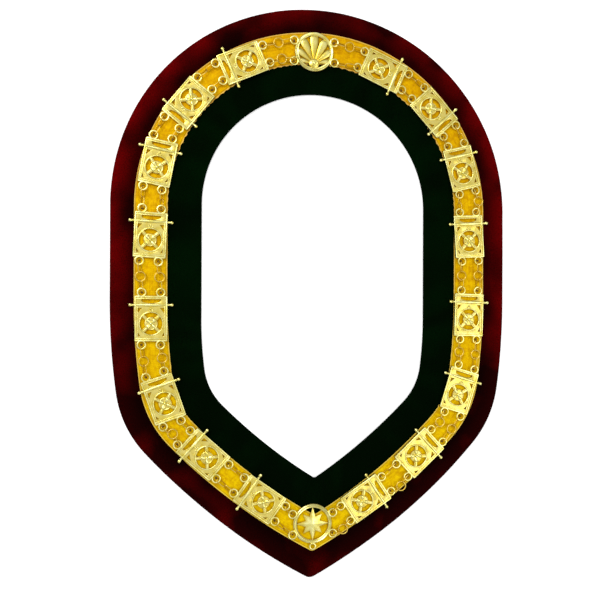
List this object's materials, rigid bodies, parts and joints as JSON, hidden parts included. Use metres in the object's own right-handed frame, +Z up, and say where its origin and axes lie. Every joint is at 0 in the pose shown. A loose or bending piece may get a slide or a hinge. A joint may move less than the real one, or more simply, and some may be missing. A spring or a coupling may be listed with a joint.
{
  "type": "chain of office",
  "caption": "Flat ceremonial collar: two velvet bands round a neck opening, a gold ribbon over their seam, and pierced cast plates and round medallions joined by strands of links.",
  "frame": {"origin": "middle of the collar's length and width, at the level of its underside", "axes": "+Y towards the nape, +X to the right of someone who looks down on the worn face, +Z up through the collar to the plates"},
  "size_m": [0.439, 0.624, 0.0089],
  "materials": {
    "red_velvet": "dark red cotton velvet",
    "green_velvet": "green-black cotton velvet",
    "gold_ribbon": "gold lame ribbon",
    "gilt_casting": "gilt, polished on the edges",
    "gilt_wire": "gilt wire"
  },
  "bodies": {
    "root": {"velvet_outer": "red_velvet", "velvet_inner": "green_velvet", "gold_ribbon": "gold_ribbon", "medallion_top": "gilt_casting", "medallion_bottom": "gilt_casting", "plate_left_1": "gilt_casting", "plate_left_2": "gilt_casting", "plate_left_3": "gilt_casting", "plate_left_4": "gilt_casting", "plate_left_5": "gilt_casting", "plate_left_6": "gilt_casting", "plate_left_7": "gilt_casting", "plate_left_8": "gilt_casting", "plate_right_1": "gilt_casting", "plate_right_2": "gilt_casting", "plate_right_3": "gilt_casting", "plate_right_4": "gilt_casting", "plate_right_5": "gilt_casting", "plate_right_6": "gilt_casting", "plate_right_7": "gilt_casting", "plate_right_8": "gilt_casting", "chain_left_1_outer": "gilt_wire", "chain_left_1_inner": "gilt_wire", "chain_left_2_outer": "gilt_wire", "chain_left_2_inner": "gilt_wire", "chain_left_3_outer": "gilt_wire", "chain_left_3_inner": "gilt_wire", "chain_left_4_outer": "gilt_wire", "chain_left_4_inner": "gilt_wire", "chain_left_5_outer": "gilt_wire", "chain_left_5_inner": "gilt_wire", "chain_left_6_outer": "gilt_wire", "chain_left_6_inner": "gilt_wire", "chain_left_7_outer": "gilt_wire", "chain_left_7_inner": "gilt_wire", "chain_left_8_outer": "gilt_wire", "chain_left_8_inner": "gilt_wire", "chain_left_9_outer": "gilt_wire", "chain_left_9_inner": "gilt_wire", "chain_right_1_outer": "gilt_wire", "chain_right_1_inner": "gilt_wire", "chain_right_2_outer": "gilt_wire", "chain_right_2_inner": "gilt_wire", "chain_right_3_outer": "gilt_wire", "chain_right_3_inner": "gilt_wire", "chain_right_4_outer": "gilt_wire", "chain_right_4_inner": "gilt_wire", "chain_right_5_outer": "gilt_wire", "chain_right_5_inner": "gilt_wire", "chain_right_6_outer": "gilt_wire", "chain_right_6_inner": "gilt_wire", "chain_right_7_outer": "gilt_wire", "chain_right_7_inner": "gilt_wire", "chain_right_8_outer": "gilt_wire", "chain_right_8_inner": "gilt_wire", "chain_right_9_outer": "gilt_wire", "chain_right_9_inner": "gilt_wire"}
  },
  "joints": []
}
